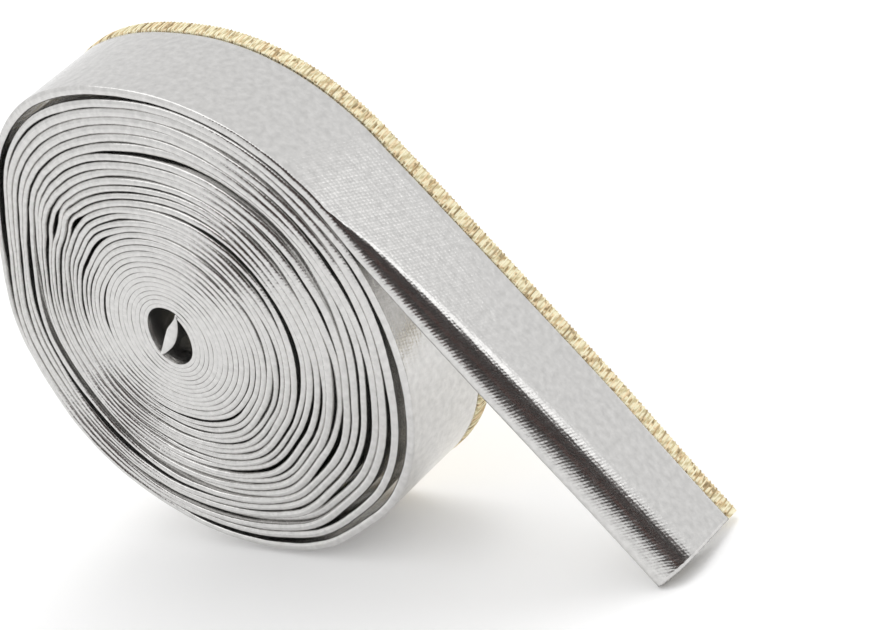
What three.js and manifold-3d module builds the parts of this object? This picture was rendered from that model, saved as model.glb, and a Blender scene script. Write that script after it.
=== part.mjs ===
// A roll of heat shield sleeve: a flat tube of aluminised cloth, sewn along one edge and wound into a coil
// that stands on its rim, with the loose outer end sloping down to the floor.
// Millimetres. +X runs from the coil towards the loose end, +Y along the coil's axis from the folded edge
// to the sewn edge, +Z up. The origin is the middle of the bottom of the whole roll.
import * as THREE from "three";
import { mergeVertices } from "three/addons/utils/BufferGeometryUtils.js";
import Module from "manifold-3d";

// The sleeve itself
const sleeveBore = 24; // inside diameter when the flat tube is opened round
const clothThickness = 0.85;
const seamWidth = 6.3; // stitched edge beyond the tube
const tubeWidth = (Math.PI * sleeveBore) / 2;
const turnThickness = 2 * clothThickness; // two layers pressed flat

// The coil: a little taller than wide, wound round an empty hole that sits off its middle
const coilHalfWidth = 88.5;
const coilHalfHeight = 94.6;
const coreHoleRadius = 10.5;
const coreOffsetX = -15;
const coreOffsetZ = -3.5;
const turnCount = 34;
const grooveDepth = 1.6; // how far the folds stand out of the gaps between the turns
const coilSides = 32;

// The inner end of the sleeve, which crosses the hole
const innerEndAngle = 48; // degrees above +X
const innerEndGap = 1.2; // from its tip to the wall of the hole

// The tail: the loose outer end
const tailSlope = 60; // degrees below the horizontal
const tailRootThickness = 2.4;
const tailFoldThickness = 9.6; // at the tip, where the fold springs open
const tailSeamThickness = 2.6; // at the tip, beside the seam
const tailMouthDepth = 70;
const tailMouthMargin = 8; // cloth left pressed together between the mouth and the seam
const tailSteps = 12;
const mouthOverrun = 5; // how far the mouth's cut runs past the tail's end

// Between the cloth and the stitched edge
const seatGap = 0.3;

const weldDistance = 1e-4;

const foldEdgeY = -(tubeWidth + seamWidth) / 2;
const seamLineY = foldEdgeY + tubeWidth;
const sewnEdgeY = foldEdgeY + tubeWidth + seamWidth;
const tailFoldReach = tailFoldThickness / 2; // the sprung fold is round
const innerEndTurn = THREE.MathUtils.degToRad(innerEndAngle);
const slope = THREE.MathUtils.degToRad(tailSlope);

// The tail leaves the coil where the coil's rim has the tail's slope.
const leaveAngle = Math.atan(coilHalfHeight / (coilHalfWidth * Math.tan(slope)));
const tailDown = new THREE.Vector3(Math.cos(slope), 0, -Math.sin(slope));
const tailOut = new THREE.Vector3(Math.sin(slope), 0, Math.cos(slope));
const tailRoot = new THREE.Vector3(
  coilHalfWidth * Math.cos(leaveAngle),
  0,
  coilHalfHeight * Math.sin(leaveAngle),
).addScaledVector(tailOut, -tailRootThickness / 2);

// The coil stands on the flat of its lowest side, and the tail's tip reaches down to the same level.
const floorZ = -coilHalfHeight * Math.cos(Math.PI / coilSides);
const tipDrop = tailRoot.z - floorZ - (tailFoldThickness / 2) * Math.cos(slope);
const tailLength = tipDrop / Math.sin(slope);
const tipX = tailRoot.x + tailLength * Math.cos(slope) + (tailFoldThickness / 2) * Math.sin(slope);
const leftX = -coilHalfWidth * Math.cos(Math.PI / coilSides);

const wasm = await Module();
wasm.setup();

function toSolid(geometry) {
  const bare = geometry.index ? geometry.toNonIndexed() : geometry.clone();
  bare.deleteAttribute("normal");
  bare.deleteAttribute("uv");
  const merged = mergeVertices(bare, weldDistance);
  const vertProperties = new Float32Array(merged.attributes.position.array);
  const triVerts = new Uint32Array(merged.index.array);
  return new wasm.Manifold(new wasm.Mesh({ numProp: 3, vertProperties, triVerts }));
}

function toMesh(solid, name, material) {
  const { vertProperties, triVerts } = solid.getMesh();
  const geometry = new THREE.BufferGeometry();
  geometry.setAttribute("position", new THREE.BufferAttribute(vertProperties, 3));
  geometry.setIndex(new THREE.BufferAttribute(triVerts, 1));
  geometry.computeVertexNormals();
  const mesh = new THREE.Mesh(geometry, material);
  mesh.name = name;
  return mesh;
}

// Moves every corner of a geometry to where place() puts it.
function bend(geometry, place) {
  const corners = geometry.attributes.position;
  const corner = new THREE.Vector3();
  for (let i = 0; i < corners.count; i += 1) {
    place(corner.fromBufferAttribute(corners, i));
    corners.setXYZ(i, corner.x, corner.y, corner.z);
  }
  return geometry;
}

// Radius of the boundary under a turn, counted from the hole: the inner turns are pressed tightest.
const woundDepth = coilHalfWidth - coreHoleRadius;
const loosening = (woundDepth - turnCount * turnThickness) / turnCount ** 2;
function turnRadius(turn) {
  return coreHoleRadius + turn * turnThickness + turn ** 2 * loosening;
}

// One end of the coil, from the hole outwards: a crest for each turn and a groove between two turns.
function endRelief(edgeY, grooveY) {
  const outline = [new THREE.Vector2(turnRadius(0), grooveY)];
  for (let turn = 0; turn < turnCount; turn += 1) {
    outline.push(new THREE.Vector2((turnRadius(turn) + turnRadius(turn + 1)) / 2, edgeY));
    outline.push(new THREE.Vector2(turnRadius(turn + 1), grooveY));
  }
  return outline;
}

// The turned rings are round about the hole and grow into the coil's outer shape.
function shapeCoil(corner) {
  const radius = Math.hypot(corner.x, corner.z);
  const outward = (radius - coreHoleRadius) / woundDepth;
  const settle = 1 - outward ** 2;
  const taller = 1 + (outward * (coilHalfHeight - coilHalfWidth)) / radius;
  corner.x += coreOffsetX * settle;
  corner.z = corner.z * taller + coreOffsetZ * settle;
}

function coilBody(nearEnd, farEnd) {
  const profile = [...nearEnd, ...farEnd.reverse(), nearEnd[0].clone()];
  const ring = new THREE.LatheGeometry(profile, coilSides, Math.PI / coilSides, 2 * Math.PI);
  return toSolid(bend(ring, shapeCoil));
}

function flatEnd(y) {
  return [new THREE.Vector2(coreHoleRadius, y), new THREE.Vector2(coilHalfWidth, y)];
}

// The inner end is a flat strip that starts inside the wall of the hole and stops short of the far wall.
function innerEnd(startY, endY) {
  const reach = 2 * coreHoleRadius - innerEndGap + turnThickness;
  const strip = new THREE.BoxGeometry(reach, endY - startY, turnThickness);
  strip.translate((innerEndGap + turnThickness) / 2, (startY + endY) / 2, 0);
  strip.rotateY(-innerEndTurn);
  strip.translate(coreOffsetX, 0, coreOffsetZ);
  return toSolid(strip);
}

// Half of the tail's thickness, along its length and across its width from the fold.
function tailHalf(along, across) {
  const opening = THREE.MathUtils.clamp(along / tailLength, 0, 1);
  const closing = THREE.MathUtils.clamp((across - tailFoldReach) / (tubeWidth - tailFoldReach), 0, 1);
  const tip = THREE.MathUtils.lerp(tailFoldThickness, tailSeamThickness, closing);
  return THREE.MathUtils.lerp(tailRootThickness, tip, opening) / 2;
}

// A stretch of the tail. Its section is drawn flat with a thickness of -1 to 1, and skin is how far the
// surface lies inside the cloth's outer face.
function tailStretch(section, from, to, skin) {
  const steps = Math.max(1, Math.round((tailSteps * (to - from)) / tailLength));
  const strip = new THREE.ExtrudeGeometry(section, { depth: to - from, steps, bevelEnabled: false });
  const place = (corner) => {
    const along = from + corner.z;
    const across = corner.x - foldEdgeY;
    const lift = corner.y * (tailHalf(along, across) - skin);
    const y = corner.x;
    corner.copy(tailRoot).addScaledVector(tailDown, along).addScaledVector(tailOut, lift);
    corner.y = y;
  };
  return toSolid(bend(strip, place));
}

// A flat section with the round fold at its start.
function foldedSection(startY, endY, foldReach) {
  const section = new THREE.Shape();
  section.moveTo(endY, -1);
  section.lineTo(endY, 1);
  section.lineTo(startY + foldReach, 1);
  section.absellipse(startY + foldReach, 0, foldReach, 1, Math.PI / 2, (3 * Math.PI) / 2, false);
  section.closePath();
  return section;
}

function plainSection(startY, endY) {
  const section = new THREE.Shape();
  section.moveTo(startY, -1);
  section.lineTo(endY, -1);
  section.lineTo(endY, 1);
  section.lineTo(startY, 1);
  section.closePath();
  return section;
}

const cloth = new THREE.MeshStandardMaterial({ color: 0xcfcecb, metalness: 0.85, roughness: 0.35 });
const thread = new THREE.MeshStandardMaterial({ color: 0xe6dfc2, metalness: 0, roughness: 0.85 });

function sleeve() {
  const nearEnd = endRelief(foldEdgeY, foldEdgeY + grooveDepth);
  const mouth = foldedSection(
    foldEdgeY + clothThickness,
    seamLineY - tailMouthMargin,
    tailFoldReach - clothThickness,
  );
  const solid = coilBody(nearEnd, flatEnd(seamLineY))
    .add(innerEnd(foldEdgeY, seamLineY))
    .add(tailStretch(foldedSection(foldEdgeY, seamLineY, tailFoldReach), 0, tailLength, 0))
    .subtract(tailStretch(mouth, tailLength - tailMouthDepth, tailLength + mouthOverrun, clothThickness));
  return toMesh(solid, "sleeve", cloth);
}

function overlockSeam() {
  const startY = seamLineY + seatGap;
  const farEnd = endRelief(sewnEdgeY, sewnEdgeY - grooveDepth);
  const solid = coilBody(flatEnd(startY), farEnd)
    .add(innerEnd(startY, sewnEdgeY))
    .add(tailStretch(plainSection(startY, sewnEdgeY), 0, tailLength, 0));
  return toMesh(solid, "overlock_seam", thread);
}

const roll = new THREE.Group();
roll.name = "heat_shield_sleeve_roll";
roll.add(sleeve(), overlockSeam());
roll.position.set(-(leftX + tipX) / 2, 0, -floorZ);

export default roll;
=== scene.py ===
import math
from collections import namedtuple

import bmesh
import bpy
from mathutils import Matrix, Vector, noise


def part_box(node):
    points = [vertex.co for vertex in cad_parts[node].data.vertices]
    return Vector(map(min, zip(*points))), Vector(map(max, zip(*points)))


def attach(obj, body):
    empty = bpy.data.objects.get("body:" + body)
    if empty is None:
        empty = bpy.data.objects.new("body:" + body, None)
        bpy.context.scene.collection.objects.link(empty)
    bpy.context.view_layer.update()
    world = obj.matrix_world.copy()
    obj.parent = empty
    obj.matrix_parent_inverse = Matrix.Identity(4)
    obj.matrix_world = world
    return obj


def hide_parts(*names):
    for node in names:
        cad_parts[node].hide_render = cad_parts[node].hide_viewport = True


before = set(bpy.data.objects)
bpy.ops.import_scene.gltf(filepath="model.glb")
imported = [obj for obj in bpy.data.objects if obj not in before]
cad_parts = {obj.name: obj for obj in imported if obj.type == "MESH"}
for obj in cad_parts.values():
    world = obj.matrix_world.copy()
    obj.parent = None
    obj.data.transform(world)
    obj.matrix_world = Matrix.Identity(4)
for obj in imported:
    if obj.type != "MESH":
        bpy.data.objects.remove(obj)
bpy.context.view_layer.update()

# Everything below is in metres, in the CAD's frame: +X to the loose end, +Y from the fold to the sewn
# edge, +Z up.
mm = 0.001

# The sleeve
cloth_thickness = 0.85 * mm
turn_thickness = 2 * cloth_thickness
seam_low, seam_high = (Vector(corner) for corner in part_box("overlock_seam"))
fold_y = Vector(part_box("sleeve")[0]).y
seam_line_y = seam_low.y
sewn_y = seam_high.y

# The coil as it is wound: turns round an empty hole that sits off the middle of the coil's rim
wraps = 33
rim_middle = Vector((-34.9, 93.9)) * mm
rim_half = Vector((88.5, 93.65)) * mm
hole_middle = Vector((-49.2, 90.4)) * mm
hole_radius = 9.4 * mm
hole_stretch = 1.1 * mm
hole_long_way = math.radians(82)
oval_turns = 14
leave_angle = math.radians(29.3)
slack_growth = 2.2

# Where the turns stand apart: angle from +X round the hole, distance from the hole's middle, width of
# the gap, and how many degrees it takes to close on each side
loose_spots = [
    (115, 89, 2.0, 55),
    (272, 85, 1.5, 34),
    (330, 96, 2.2, 45),
    (325, 90, 1.9, 45),
    (330, 83, 1.4, 38),
    (205, 63, 1.9, 88),
    (15, 55, 1.3, 60),
    (127, 56, 1.6, 9),
    (118, 50, 1.0, 8),
    (125, 40, 0.9, 30),
    (158, 28, 0.8, 34),
    (275, 34, 0.9, 42),
    (322, 71, 1.3, 22),
    (18, 74, 1.2, 28),
    (310, 59, 0.8, 36),
    (12, 89, 1.2, 20),
    (75, 73, 0.8, 22),
]

# The camera stands where the photograph was taken from.
camera_azimuth = math.radians(43.29)
camera_elevation = math.radians(25.98)
camera_roll = math.radians(20.48)
camera_distance = 0.97275
camera_aim = Vector((52.15, 0, 88.62)) * mm
camera_lens = 122.45
camera_sensor = 36.0


def place_camera():
    sa, ca = math.sin(camera_azimuth), math.cos(camera_azimuth)
    se, ce = math.sin(camera_elevation), math.cos(camera_elevation)
    back = Vector((sa * ce, -ca * ce, se))
    turn = back.to_track_quat("Z", "Y").to_matrix().to_4x4()
    data = bpy.data.cameras.new("camera")
    data.lens = camera_lens
    data.sensor_width = camera_sensor
    data.clip_end = 50
    camera = bpy.data.objects.new("camera", data)
    roll = Matrix.Rotation(-camera_roll, 4, "Z")
    camera.matrix_world = Matrix.Translation(camera_aim + back * camera_distance) @ turn @ roll
    bpy.context.collection.objects.link(camera)
    bpy.context.scene.camera = camera


place_camera()


def smooth(low, high, value):
    share = min(1.0, max(0.0, (value - low) / (high - low)))
    return share * share * (3 - 2 * share)


# The coil isn't quite an oval. Each entry is an angle, how many millimetres the rim stands out there, and
# how many degrees that takes to end on each side.
rim_bulges = [
    (107, 4.0, 34),
    (153, -4.2, 34),
    (238, 2.5, 50),
    (208, 1.6, 62),
    (305, -1.5, 16),
    (355, -1.2, 30),
]


def degrees_apart(angle, middle):
    return abs((math.degrees(angle) - middle + 180) % 360 - 180)


def rim_bulge(angle):
    bulge = 0.0
    for middle, height, reach in rim_bulges:
        bulge += height * (1 - smooth(0, reach, degrees_apart(angle, middle)))
    return bulge * mm


# Distance from the hole's middle to the coil's rim
def rim_distance(angle):
    across, up = math.cos(angle), math.sin(angle)
    start = hole_middle - rim_middle
    a = (across / rim_half.x) ** 2 + (up / rim_half.y) ** 2
    b = 2 * (start.x * across / rim_half.x**2 + start.y * up / rim_half.y**2)
    c = (start.x / rim_half.x) ** 2 + (start.y / rim_half.y) ** 2 - 1
    return (-b + math.sqrt(b * b - 4 * a * c)) / (2 * a) + rim_bulge(angle)


def wound_angle(turn):
    return leave_angle + math.tau * (wraps - turn)


# Room that the wound turns leave between them, added up from the hole to the rim.
def slack(angle):
    return rim_distance(angle) - hole_radius - turn_thickness * (wraps + 1)


def plain_radius(turn, angle):
    return hole_radius + turn_thickness * (1 + turn) + slack(angle) * (turn / wraps) ** slack_growth


# The hole is an upright oval, and the first turns follow it.
def hole_oval(turn, angle):
    return hole_stretch * math.cos(2 * (angle - hole_long_way)) * (1 - smooth(0, oval_turns, turn))


# The turn just inside a loose spot, counted where the strip passes the spot's angle.
def spot_turn(angle, distance):
    passed = (math.radians(angle) - leave_angle) % math.tau / math.tau
    turns = [wraps - passed - k for k in range(1, wraps - 1)]
    return min(turns, key=lambda turn: abs(plain_radius(turn, math.radians(angle)) - distance))


# Turns that lie deeper in the coil than the rest: angle, distance, how deep, and degrees to each side
deep_spots = [(205, 61, 3.2, 88), (20, 57, 0.9, 60), (268, 78, 1.6, 50), (40, 80, 1.4, 45)]

deep_turns = [
    (math.radians(angle), spot_turn(angle, distance * mm), depth * mm, math.radians(reach))
    for angle, distance, depth, reach in deep_spots
]

spots = [
    (math.radians(angle), spot_turn(angle, distance * mm), width * mm, math.radians(reach))
    for angle, distance, width, reach in loose_spots
]


def spot_opening(angle, spot_angle, reach):
    apart = abs((angle - spot_angle + math.pi) % math.tau - math.pi)
    return 1 - smooth(0.25 * reach, reach, apart)


# How far a turn's fold stands back from its neighbours' folds.
def set_back(turn):
    angle = wound_angle(turn)
    deepest = 0.0
    for spot_angle, level, depth, reach in deep_turns:
        passed = (angle - spot_angle + math.pi) % math.tau - math.pi
        near_level = 1 - smooth(0.35, 0.6, abs(turn + passed / math.tau - level))
        deepest = max(deepest, depth * near_level * spot_opening(angle, spot_angle, reach))
    return deepest


# Distance from the hole's middle to the outer face of the strip, and how much of it is loose room.
def wound_radius(turn):
    angle = wound_angle(turn)
    opened = 0.0
    loose = 0.0
    for spot_angle, inner_turn, width, reach in spots:
        gap = width * spot_opening(angle, spot_angle, reach)
        opened += gap
        passed = (angle - spot_angle + math.pi) % math.tau - math.pi
        level = turn + passed / math.tau
        loose += gap * smooth(inner_turn + 0.2, inner_turn + 0.8, level)
    rest = slack(angle) - opened
    share = max(0.0, turn / wraps) ** slack_growth
    wound = hole_radius + turn_thickness * (1 + turn) + hole_oval(turn, angle)
    return wound + rest * share + loose, loose


def wound_point(turn):
    angle = wound_angle(turn)
    return hole_middle + wound_radius(turn)[0] * Vector((math.cos(angle), math.sin(angle)))


# The folds puff up until they fill the room that the winding leaves.
def fold_thickness(turn):
    if turn < 1:
        return turn_thickness
    radius, loose = wound_radius(turn)
    inner_radius, inner_loose = wound_radius(turn - 1)
    return max(turn_thickness, (radius - loose) - (inner_radius - inner_loose))


# One place along the strip: a point on its outer face, which way is outwards, how far the fold lies
# under the outer face, how far the inner face lies under the fold, half the thickness at the seam, how
# far the fold's rounding reaches on the outer and the inner face, how the strip leans, how far the fold
# stands back, the length so far, how the cut end runs askew, and how much narrower the opened strip is
Station = namedtuple(
    "Station",
    "face outward fold_drop fold_under seam_half rounding under_rounding lean fold_shift travelled"
    " skew narrowing",
    defaults=(Vector((0, 0)), 0.0),
)
closest_turns = 0.03 * mm
widest_turns = 0.55 * mm
widest_share = 0.35
thickness_ripple = 0.08 * mm
edge_ripple = 0.18 * mm
turn_nudge = 0.002

# The turns near the hole are alike, and those further out differ more and more.
alike_until, differ_from = 6, 22
whim_round = 1.3
whim_per_turn = 0.83
whim_apart = 40

# Beside the loose end the outer turn leans away from the coil at its sewn edge.
outer_lean = 0.08
lean_angle = math.radians(-17)
lean_reach = math.radians(40)

# The sewn band: how far it stands proud of the cloth, and how square its section is
band_proud = 0.03 * mm
band_squareness = 0.6


# How much one turn differs from the next, from -1 to 1, changing slowly round the coil
def turn_whim(turn, number):
    angle = wound_angle(turn)
    across, up = math.cos(angle) * whim_round, math.sin(angle) * whim_round
    return noise.noise(Vector((across, up, turn * whim_per_turn + number * whim_apart)))


def wound_station(turn, travelled):
    ahead = wound_point(turn + turn_nudge) - wound_point(turn - turn_nudge)
    outward = Vector((-ahead.y, ahead.x)).normalized()
    angle = wound_angle(turn)
    outer_share = smooth(alike_until, differ_from, turn)
    gap = closest_turns + widest_turns * outer_share * max(0.0, 0.25 + 1.5 * turn_whim(turn, 1))
    half = 0.5 * (fold_thickness(turn) - min(gap, widest_share * fold_thickness(turn)))
    half += thickness_ripple * noise.noise(Vector((travelled * 90, 3.1, 0)))
    shift = (0.15 + 1.3 * outer_share) * mm * turn_whim(turn, 2)
    shift += edge_ripple * noise.noise(Vector((travelled * 120, 8.7, 0))) + set_back(turn)
    rounding = (0.2 + 0.9 * outer_share + 0.3 * outer_share * turn_whim(turn, 3)) * mm
    seam_half = 0.5 * turn_thickness - band_proud
    last_turn_share = smooth(wraps - 1.3, wraps - 0.8, turn)
    lean = outer_lean * spot_opening(angle, lean_angle, lean_reach) * last_turn_share
    face = wound_point(turn) - outward * lean * fold_y
    return Station(face, outward, half, half, seam_half, rounding, rounding, lean, shift, travelled)


def wound_stations(first_turn, last_turn, steps_per_turn, travelled=0.0):
    count = round((last_turn - first_turn) * steps_per_turn)
    stations = []
    before = None
    for step in range(count + 1):
        turn = first_turn + (last_turn - first_turn) * step / count
        here = wound_point(turn)
        if before is not None:
            travelled += (here - before).length
        before = here
        stations.append(wound_station(turn, travelled))
    return stations


# The loose end runs straight down from the rim to the floor. Towards its cut end it opens: its outer
# face stays flat, and bends down to the fold in a wide curve.
tail_tip = Vector((128.1, 5.0)) * mm
tip_fold_drop = 11.0 * mm
tip_fold_under = 3.0 * mm
tip_seam_half = 1.3 * mm
tip_rounding = 18.6 * mm
tip_under_rounding = 5 * mm
tip_lean = -0.098
tip_skew = 0.061
tip_fold_shift = 1.3 * mm
tip_narrowing = 1.8 * mm
mouth_depth = 70 * mm


def tail_station(root, share):
    start = root.face
    run = tail_tip - start
    direction = run.normalized()
    outward = Vector((-direction.y, direction.x))
    opening = 0.1 * smooth(0, 0.15, share) + 0.9 * share**0.8

    def opened(narrow, wide):
        return narrow + (wide - narrow) * opening

    turned = root.outward.lerp(outward, smooth(0, 0.06, share)).normalized()
    lean = tip_lean * smooth(0, 1, share)
    return Station(
        start + run * share,
        turned,
        opened(root.fold_drop, tip_fold_drop),
        opened(root.fold_under, tip_fold_under),
        opened(root.seam_half, tip_seam_half),
        opened(root.rounding, tip_rounding),
        opened(root.under_rounding, tip_under_rounding),
        lean,
        root.fold_shift * (1 - smooth(0, 0.2, share)) + tip_fold_shift * smooth(0.3, 1, share),
        root.travelled + run.length * share,
        direction * tip_skew * smooth(0.75, 1, share),
        tip_narrowing * smooth(0.6, 1, share),
    )


def blend_stations(first, second, share):
    mixed = [a + (b - a) * share for a, b in zip(first, second)]
    mixed[1] = mixed[1].normalized()
    return Station(*mixed)


# The curve from the fold up to the flat outer face: tight at the fold and wider above it. Each entry is
# a share of its reach and a share of its drop, for equal steps along the curve.
fold_bend = 5.5
shoulder_bend = 10.5
face_bend = 12
curve_pieces = 240


def fold_curve(steps=60):
    reach, drop, length = [0.0], [0.0], [0.0]
    for step in range(curve_pieces):
        tilt = math.radians(90 - 90 * (step + 0.5) / curve_pieces)
        degrees = math.degrees(tilt)
        bend = fold_bend + shoulder_bend * (1 - smooth(55, 68, degrees))
        bend += face_bend * (1 - smooth(15, 30, degrees))
        piece = bend * math.radians(90 / curve_pieces)
        reach.append(reach[-1] + piece * math.cos(tilt))
        drop.append(drop[-1] + piece * math.sin(tilt))
        length.append(length[-1] + piece)
    curve = []
    place = 0
    for step in range(steps + 1):
        while place < curve_pieces and length[place] < length[-1] * step / steps:
            place += 1
        curve.append((reach[place] / reach[-1], drop[place] / drop[-1]))
    return curve


fold_shape = fold_curve()


# A place on the cloth: side runs from -1 at the seam on the inner face, through 0 at the fold, to 1 at
# the seam on the outer face.
fold_share = 0.5
tuck = 1.0 * mm
cloth_width = seam_line_y + tuck - fold_y


def cloth_point(station, side, inset=0.0):
    reach = abs(side)
    rounding = station.rounding if side > 0 else station.under_rounding
    width = cloth_width - station.narrowing
    if reach < fold_share:
        if side > 0:
            forward, risen = fold_shape[round(reach / fold_share * (len(fold_shape) - 1))]
        else:
            angle = reach / fold_share * math.pi / 2
            forward, risen = 1 - math.cos(angle), math.sin(angle)
        y = rounding * forward
    else:
        y = rounding + (reach - fold_share) / (1 - fold_share) * (width - rounding)
        risen = 1.0
    under = smooth(0, 1, y / width)
    closing = math.sqrt(max(0.0, min(1.0, (width - y) / tuck)))
    if side > 0:
        depth = station.fold_drop * (1 - risen) + inset * risen
    else:
        depth = station.fold_drop + (station.fold_under - inset) * risen
        depth += (2 * station.seam_half - inset - depth) * under
    depth += (station.seam_half - depth) * (1 - closing)
    y += fold_y + station.fold_shift * (1 - smooth(0, 8 * mm, y)) + inset * (1 - 2 * under)
    place = station.face + station.outward * (station.lean * y - depth) + station.skew * y
    return Vector((place.x, y, place.y))


def cloth_across(station, side):
    reach = abs(side)
    curve = station.rounding + 0.6 * station.fold_drop
    flat = max(0.0, reach - fold_share) / (1 - fold_share)
    distance = min(reach, fold_share) / fold_share * curve + flat * (cloth_width - station.rounding)
    return math.copysign(distance, side)


# A place round the sewn band, turn by turn about its section.
def band_point(station, turn, proud=0.0):
    angle = turn * math.tau
    across, up = math.cos(angle), math.sin(angle)
    half_width = 0.5 * (sewn_y - seam_line_y) + proud
    y = 0.5 * (seam_line_y + sewn_y) + half_width * math.copysign(abs(across) ** band_squareness, across)
    y -= station.narrowing
    half = station.seam_half + band_proud + proud
    height = half * math.copysign(abs(up) ** band_squareness, up) - station.seam_half
    place = station.face + station.outward * (height + station.lean * y) + station.skew * y
    return Vector((place.x, y, place.y))


def make_piece(name, bm, materials, replaced):
    mesh = bpy.data.meshes.new(name)
    bm.to_mesh(mesh)
    bm.free()
    for material in materials:
        mesh.materials.append(material)
    for polygon in mesh.polygons:
        polygon.use_smooth = True
    piece = bpy.data.objects.new(name, mesh)
    bpy.context.collection.objects.link(piece)
    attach(piece, "root")
    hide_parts(replaced)
    return piece


same_place = 0.0005 * mm


# A flat grid bent into a closed tube: columns run along the strip and rows run round its section.
def bent_tube(columns, rows, place, pattern, inside_from=None):
    bm = bmesh.new()
    layer = bm.loops.layers.uv.new("cloth")
    bmesh.ops.create_grid(bm, x_segments=columns, y_segments=rows, size=0.5)
    for face in bm.faces:
        for loop in face.loops:
            column = (loop.vert.co.x + 0.5) * columns
            row = (loop.vert.co.y + 0.5) * rows
            loop[layer].uv = pattern(round(column), round(row))
        if inside_from is not None and (face.calc_center_median().x + 0.5) * columns > inside_from:
            face.material_index = 1
    for vert in bm.verts:
        vert.co = place(round((vert.co.x + 0.5) * columns), round((vert.co.y + 0.5) * rows))
    bmesh.ops.remove_doubles(bm, verts=bm.verts, dist=same_place)
    ends = [edge for edge in bm.edges if edge.is_boundary]
    bmesh.ops.holes_fill(bm, edges=ends, sides=0)
    for edge in ends:
        edge.smooth = False
    bmesh.ops.recalc_face_normals(bm, faces=bm.faces)
    return bm


def cloth_material(name, colour, metal, roughness, rib_depth):
    material = bpy.data.materials.new(name)
    material.use_nodes = True
    nodes, links = material.node_tree.nodes, material.node_tree.links
    shader = nodes["Principled BSDF"]
    shader.inputs["Metallic"].default_value = metal
    place = nodes.new("ShaderNodeUVMap")
    place.uv_map = "cloth"
    parts = nodes.new("ShaderNodeSeparateXYZ")
    links.new(place.outputs["UV"], parts.inputs[0])

    def number(operation, first, second=0.0):
        node = nodes.new("ShaderNodeMath")
        node.operation = operation
        for socket, value in zip(node.inputs, (first, second)):
            if isinstance(value, (int, float)):
                socket.default_value = value
            else:
                links.new(value, socket)
        return node.outputs[0]

    def speckle(scale, detail):
        cloud = nodes.new("ShaderNodeTexNoise")
        cloud.inputs["Scale"].default_value = scale
        cloud.inputs["Detail"].default_value = detail
        links.new(place.outputs["UV"], cloud.inputs["Vector"])
        return cloud.outputs["Fac"]

    along, across = parts.outputs[0], parts.outputs[1]
    slanted = number("SUBTRACT", along, number("MULTIPLY", across, rib_slant))
    wander = number("MULTIPLY", speckle(160, 2), 0.0009)
    slanted = number("ADD", slanted, wander)
    coarse = number("SINE", number("MULTIPLY", slanted, math.tau / coarse_rib_pitch))
    fine = number("SINE", number("MULTIPLY", slanted, math.tau / fine_rib_pitch))
    weft = number("SINE", number("MULTIPLY", across, math.tau / weft_pitch))
    grain, crumple, waves = speckle(1100, 2), speckle(320, 2), speckle(60, 2)
    layers = ((coarse, 0.16), (fine, 0.2), (weft, 0.16), (grain, 1.1), (crumple, 1.4), (waves, 3.0))
    height = 0.0
    for layer, share in layers:
        height = number("ADD", height, number("MULTIPLY", layer, share))
    away = number("DIVIDE", number("ABSOLUTE", across), creased_reach)
    creased = number("MAXIMUM", number("SUBTRACT", 1.0, away), 0.0)
    creases = number("MULTIPLY", speckle(300, 3), 7.0)
    height = number("ADD", height, number("MULTIPLY", creases, creased))
    bump = nodes.new("ShaderNodeBump")
    bump.inputs["Strength"].default_value = 1.0
    bump.inputs["Distance"].default_value = rib_depth
    links.new(height, bump.inputs["Height"])
    links.new(bump.outputs[0], shader.inputs["Normal"])

    tint = nodes.new("ShaderNodeValToRGB")
    tint.color_ramp.elements[0].color = (*[0.82 * c for c in colour], 1)
    tint.color_ramp.elements[1].color = (*colour, 1)
    tint.color_ramp.elements[0].position = 0.3
    tint.color_ramp.elements[1].position = 0.7
    links.new(speckle(420, 4), tint.inputs[0])
    links.new(tint.outputs[0], shader.inputs["Base Color"])
    shine = nodes.new("ShaderNodeMapRange")
    shine.inputs["To Min"].default_value = roughness - 0.05
    shine.inputs["To Max"].default_value = roughness + 0.08
    links.new(speckle(240, 3), shine.inputs["Value"])
    links.new(shine.outputs[0], shader.inputs["Roughness"])
    return material


rib_slant = 0.45
coarse_rib_pitch = 2.6 * mm
fine_rib_pitch = 1.2 * mm
weft_pitch = 1.5 * mm
creased_reach = 4.5 * mm
aluminised_face = cloth_material("aluminised cloth", (0.68, 0.672, 0.66), 0.97, 0.17, 0.03 * mm)
woven_back = cloth_material("woven glass back", (0.62, 0.58, 0.48), 0.0, 0.8, 0.2 * mm)


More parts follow.
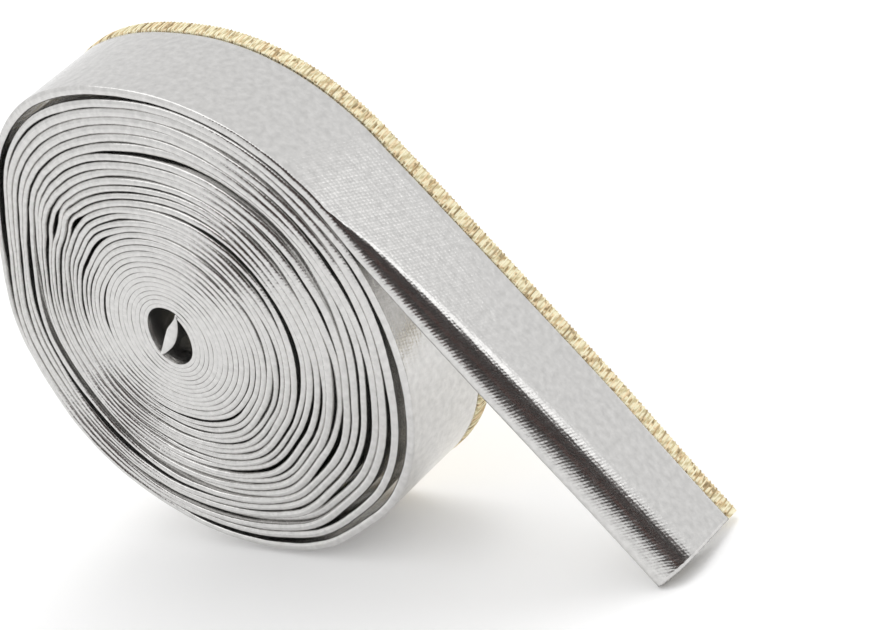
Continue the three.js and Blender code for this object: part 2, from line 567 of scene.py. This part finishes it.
def thread_material():
    material = bpy.data.materials.new("seam thread")
    material.use_nodes = True
    nodes, links = material.node_tree.nodes, material.node_tree.links
    shader = nodes["Principled BSDF"]
    shader.inputs["Roughness"].default_value = 0.75
    place = nodes.new("ShaderNodeUVMap")
    place.uv_map = "cloth"
    bars = nodes.new("ShaderNodeTexWave")
    bars.bands_direction = "DIAGONAL"
    bars.inputs["Scale"].default_value = 140
    bars.inputs["Distortion"].default_value = 0.6
    links.new(place.outputs["UV"], bars.inputs["Vector"])
    bump = nodes.new("ShaderNodeBump")
    bump.inputs["Distance"].default_value = 0.3 * mm
    links.new(bars.outputs["Fac"], bump.inputs["Height"])
    links.new(bump.outputs[0], shader.inputs["Normal"])
    # The thread is yellow-cream, and its tone follows the same bars as the bump: darker in the grooves
    # between the bars, which is painted shade between the stitches.
    tint = nodes.new("ShaderNodeValToRGB")
    tint.color_ramp.elements[0].color = (0.62, 0.53, 0.31, 1)
    tint.color_ramp.elements[1].color = (0.92, 0.86, 0.62, 1)
    tint.color_ramp.elements[1].position = 0.5
    links.new(bars.outputs["Fac"], tint.inputs[0])
    # Scattered dark dots are painted shade standing for needle holes and gaps between loops; the pink dots
    # are a tint of the thread itself.
    shade_and_tint_dots = nodes.new("ShaderNodeTexNoise")
    shade_and_tint_dots.inputs["Scale"].default_value = 420
    shade_and_tint_dots.inputs["Detail"].default_value = 2
    links.new(place.outputs["UV"], shade_and_tint_dots.inputs["Vector"])
    hole_shade_and_pink_tint = nodes.new("ShaderNodeValToRGB")
    hole_shade_and_pink_tint.color_ramp.elements[0].position = 0.36
    hole_shade_and_pink_tint.color_ramp.elements[0].color = (0.45, 0.38, 0.30, 1)
    hole_shade_and_pink_tint.color_ramp.elements[1].position = 0.5
    hole_shade_and_pink_tint.color_ramp.elements[1].color = (1, 1, 1, 1)
    pink = hole_shade_and_pink_tint.color_ramp.elements.new(0.43)
    pink.color = (0.95, 0.80, 0.70, 1)
    links.new(shade_and_tint_dots.outputs["Fac"], hole_shade_and_pink_tint.inputs[0])
    mixed = nodes.new("ShaderNodeMix")
    mixed.data_type = "RGBA"
    mixed.blend_type = "MULTIPLY"
    mixed.inputs["Factor"].default_value = 1
    links.new(tint.outputs[0], mixed.inputs["A"])
    links.new(hole_shade_and_pink_tint.outputs[0], mixed.inputs["B"])
    links.new(mixed.outputs["Result"], shader.inputs["Base Color"])
    return material


seam_thread = thread_material()


# The turns of the coil, and the last turn with the loose end
outer_turns = 1.0
coil_steps = 132
coil_rows = 20
coil = wound_stations(-0.05, wraps - outer_turns, coil_steps)
last_turn = wound_stations(wraps - outer_turns, wraps, 480, coil[-1].travelled)

coil_turns = bent_tube(
    len(coil) - 1,
    coil_rows,
    lambda column, row: cloth_point(coil[column], 2 * row / coil_rows - 1),
    lambda column, row: (coil[column].travelled, cloth_across(coil[column], 2 * row / coil_rows - 1)),
)
make_piece("coil_turns", coil_turns, [aluminised_face], "sleeve")

tail_steps = 130
tail = [tail_station(last_turn[-1], step / tail_steps) for step in range(tail_steps + 1)]
tail_step = (tail_tip - tail[0].face).length / tail_steps
outer = last_turn[:-1] + tail
lining = list(reversed(outer[-round(mouth_depth / tail_step):]))
whole = outer + lining
outer_rows = 60


def outer_place(column, row):
    inset = cloth_thickness if column >= len(outer) else 0.0
    return cloth_point(whole[column], 2 * row / outer_rows - 1, inset)


outer_turn = bent_tube(
    len(whole) - 1,
    outer_rows,
    outer_place,
    lambda column, row: (whole[column].travelled, cloth_across(whole[column], 2 * row / outer_rows - 1)),
    inside_from=len(outer),
)
make_piece("outer_turn_and_tail", outer_turn, [aluminised_face, woven_back], "sleeve")

# The sewn band along the far edge
band_rows = 12
for name, stations in (("coil_seam", coil), ("outer_seam", outer)):
    band = bent_tube(
        len(stations) - 1,
        band_rows,
        lambda column, row: band_point(stations[column], row / band_rows),
        lambda column, row: (stations[column].travelled, row / band_rows * 16 * mm),
    )
    make_piece(name, band, [seam_thread], "overlock_seam")

# The overcast thread: one long thread wound round the band, a stitch at a time
stitch_pitch = 1.5 * mm
thread_radius = 0.33 * mm
thread_proud = 0.1 * thread_radius
stitch_steps = 14
thread_sides = 5


def station_at(stations, travelled):
    low, high = 0, len(stations) - 1
    while high - low > 1:
        middle = (low + high) // 2
        if stations[middle].travelled <= travelled:
            low = middle
        else:
            high = middle
    span = stations[high].travelled - stations[low].travelled
    return blend_stations(stations[low], stations[high], (travelled - stations[low].travelled) / span)


def thread_line(stations):
    points = []
    start = stations[0].travelled
    count = int((stations[-1].travelled - start) / stitch_pitch) * stitch_steps
    for step in range(count + 1):
        stitch = step / stitch_steps
        station = station_at(stations, start + stitch * stitch_pitch)
        points.append(band_point(station, stitch, proud=thread_proud))
    return points


overcast = thread_line(outer)


def thread_place(column, row):
    here = overcast[column]
    ahead = overcast[min(column + 1, len(overcast) - 1)] - overcast[max(column - 1, 0)]
    side = ahead.cross(Vector((0.3, 0.1, 1))).normalized()
    up = side.cross(ahead).normalized()
    angle = math.tau * row / thread_sides
    return here + thread_radius * (math.cos(angle) * side + math.sin(angle) * up)


stitches = bent_tube(
    len(overcast) - 1,
    thread_sides,
    thread_place,
    lambda column, row: (column * 0.2 * mm, row * 0.4 * mm),
)
make_piece("overcast_stitches", stitches, [seam_thread], "overlock_seam")


# The cut end of the innermost turn bends back across the empty hole.
tongue_route = [
    (7.2, 8.0),
    (6.5, 8.8),
    (5.4, 7.2),
    (3.6, 4.6),
    (1.1, 1.7),
    (-1.6, -1.6),
    (-5.0, -4.9),
    (-8.2, -7.4),
]
tongue_thickness = [1.0, 1.0, 1.3, 3.0, 4.4, 4.3, 3.0, 1.0]
tongue_steps = 48
tongue_step_length = 0.6 * mm
tongue_rounding = 0.6 * mm
route_nudge = 0.01


def curve_value(values, share):
    place = share * (len(values) - 1)
    index = min(int(place), len(values) - 2)
    t = place - index
    a, b = values[max(index - 1, 0)], values[index]
    c, d = values[index + 1], values[min(index + 2, len(values) - 1)]
    slope = c - a
    bend = 2 * a - 5 * b + 4 * c - d
    twist = 3 * b - a - 3 * c + d
    return 0.5 * ((2 * b) + slope * t + bend * t * t + twist * t**3)


tongue_points = [Vector(point) * mm for point in tongue_route]
tongue = []
tongue_travelled = 0.0
for step in range(tongue_steps + 1):
    share = step / tongue_steps
    here = curve_value(tongue_points, share)
    before = curve_value(tongue_points, max(0, share - route_nudge))
    ahead = curve_value(tongue_points, min(1, share + route_nudge)) - before
    outward = Vector((ahead.y, -ahead.x)).normalized()
    half = 0.5 * curve_value(tongue_thickness, share) * mm
    face = hole_middle + here + outward * half
    curve = tongue_rounding
    tongue.append(Station(face, outward, half, half, half, curve, curve, 0.0, 0.0, tongue_travelled))
    tongue_travelled += tongue_step_length
inner_end = bent_tube(
    tongue_steps,
    coil_rows,
    lambda column, row: cloth_point(tongue[column], 2 * row / coil_rows - 1),
    lambda column, row: (tongue[column].travelled, cloth_across(tongue[column], 2 * row / coil_rows - 1)),
)
make_piece("inner_end", inner_end, [aluminised_face], "sleeve")


# The studio: a pale floor, soft lights, and a dark mottled card round the camera that the glossy cloth
# mirrors
def plain_material(name, colour, roughness):
    material = bpy.data.materials.new(name)
    material.use_nodes = True
    shader = material.node_tree.nodes["Principled BSDF"]
    shader.inputs["Base Color"].default_value = (*colour, 1)
    shader.inputs["Roughness"].default_value = roughness
    return material


def stage_piece(name, bm, material):
    mesh = bpy.data.meshes.new(name)
    bm.to_mesh(mesh)
    bm.free()
    mesh.materials.append(material)
    thing = bpy.data.objects.new(name, mesh)
    bpy.context.collection.objects.link(thing)
    return thing


def floor():
    bm = bmesh.new()
    bmesh.ops.create_grid(bm, x_segments=1, y_segments=1, size=6)
    material = plain_material("floor", (0.93, 0.93, 0.93), 0.7)
    shader = material.node_tree.nodes["Principled BSDF"]
    shader.inputs["Emission Color"].default_value = (1, 0.99, 0.98, 1)
    shader.inputs["Emission Strength"].default_value = 0.09
    stage_piece("floor", bm, material)


floor()

card_distance = 1.7


def sky_way(azimuth, elevation):
    a, e = math.radians(azimuth), math.radians(elevation)
    return Vector((math.sin(a) * math.cos(e), -math.cos(a) * math.cos(e), math.sin(e)))


# A card bent round the roll that only the gloss sees
def studio_card(name, azimuths, elevations, material):
    bm = bmesh.new()
    bmesh.ops.create_grid(bm, x_segments=40, y_segments=20, size=0.5)
    for vert in bm.verts:
        azimuth = azimuths[0] + (vert.co.x + 0.5) * (azimuths[1] - azimuths[0])
        elevation = elevations[0] + (vert.co.y + 0.5) * (elevations[1] - elevations[0])
        vert.co = sky_way(azimuth, elevation) * card_distance
    card = stage_piece(name, bm, material)
    card.visible_camera = False
    card.visible_diffuse = False
    card.visible_shadow = False


# The dark card is mottled brown and black.
def mottled_material():
    material = plain_material("dark card", (0.02, 0.015, 0.012), 0.9)
    nodes, links = material.node_tree.nodes, material.node_tree.links
    place = nodes.new("ShaderNodeTexCoord")
    cloud = nodes.new("ShaderNodeTexNoise")
    cloud.inputs["Scale"].default_value = 5
    cloud.inputs["Detail"].default_value = 5
    tint = nodes.new("ShaderNodeValToRGB")
    tint.color_ramp.elements[0].position = 0.46
    tint.color_ramp.elements[0].color = (0.006, 0.006, 0.005, 1)
    tint.color_ramp.elements[1].position = 0.62
    tint.color_ramp.elements[1].color = (0.075, 0.02, 0.012, 1)
    links.new(place.outputs["Object"], cloud.inputs["Vector"])
    links.new(cloud.outputs["Fac"], tint.inputs[0])
    links.new(tint.outputs[0], nodes["Principled BSDF"].inputs["Base Color"])
    return material


def glow_material(name, strength):
    material = bpy.data.materials.new(name)
    material.use_nodes = True
    shader = material.node_tree.nodes["Principled BSDF"]
    shader.inputs["Base Color"].default_value = (0, 0, 0, 1)
    shader.inputs["Emission Color"].default_value = (1, 1, 1, 1)
    shader.inputs["Emission Strength"].default_value = strength
    return material


studio_card("dark_card", (-3, 112), (10, 46), mottled_material())
studio_card("front_top_card", (-90, 62), (50, 84), glow_material("bright card", 1.7))
studio_card("side_card", (113, 130), (22, 60), glow_material("bright side card", 1.7))


def soft_light(name, azimuth, elevation, distance, size, power):
    way = sky_way(azimuth, elevation)
    data = bpy.data.lights.new(name, "AREA")
    data.shape = "RECTANGLE"
    data.size, data.size_y = size
    data.energy = power
    light = bpy.data.objects.new(name, data)
    light.matrix_world = Matrix.Translation(way * distance) @ way.to_track_quat("Z", "Y").to_matrix().to_4x4()
    light.visible_glossy = False
    bpy.context.collection.objects.link(light)


soft_light("back_light", -170, 70, 2.6, (1.4, 1.4), 14)

world = bpy.data.worlds.new("studio")
world.use_nodes = True
world.node_tree.nodes["Background"].inputs["Color"].default_value = (1, 1, 1, 1)
world.node_tree.nodes["Background"].inputs["Strength"].default_value = 0.97
bpy.context.scene.world = world
bpy.context.scene.view_settings.view_transform = "Standard"
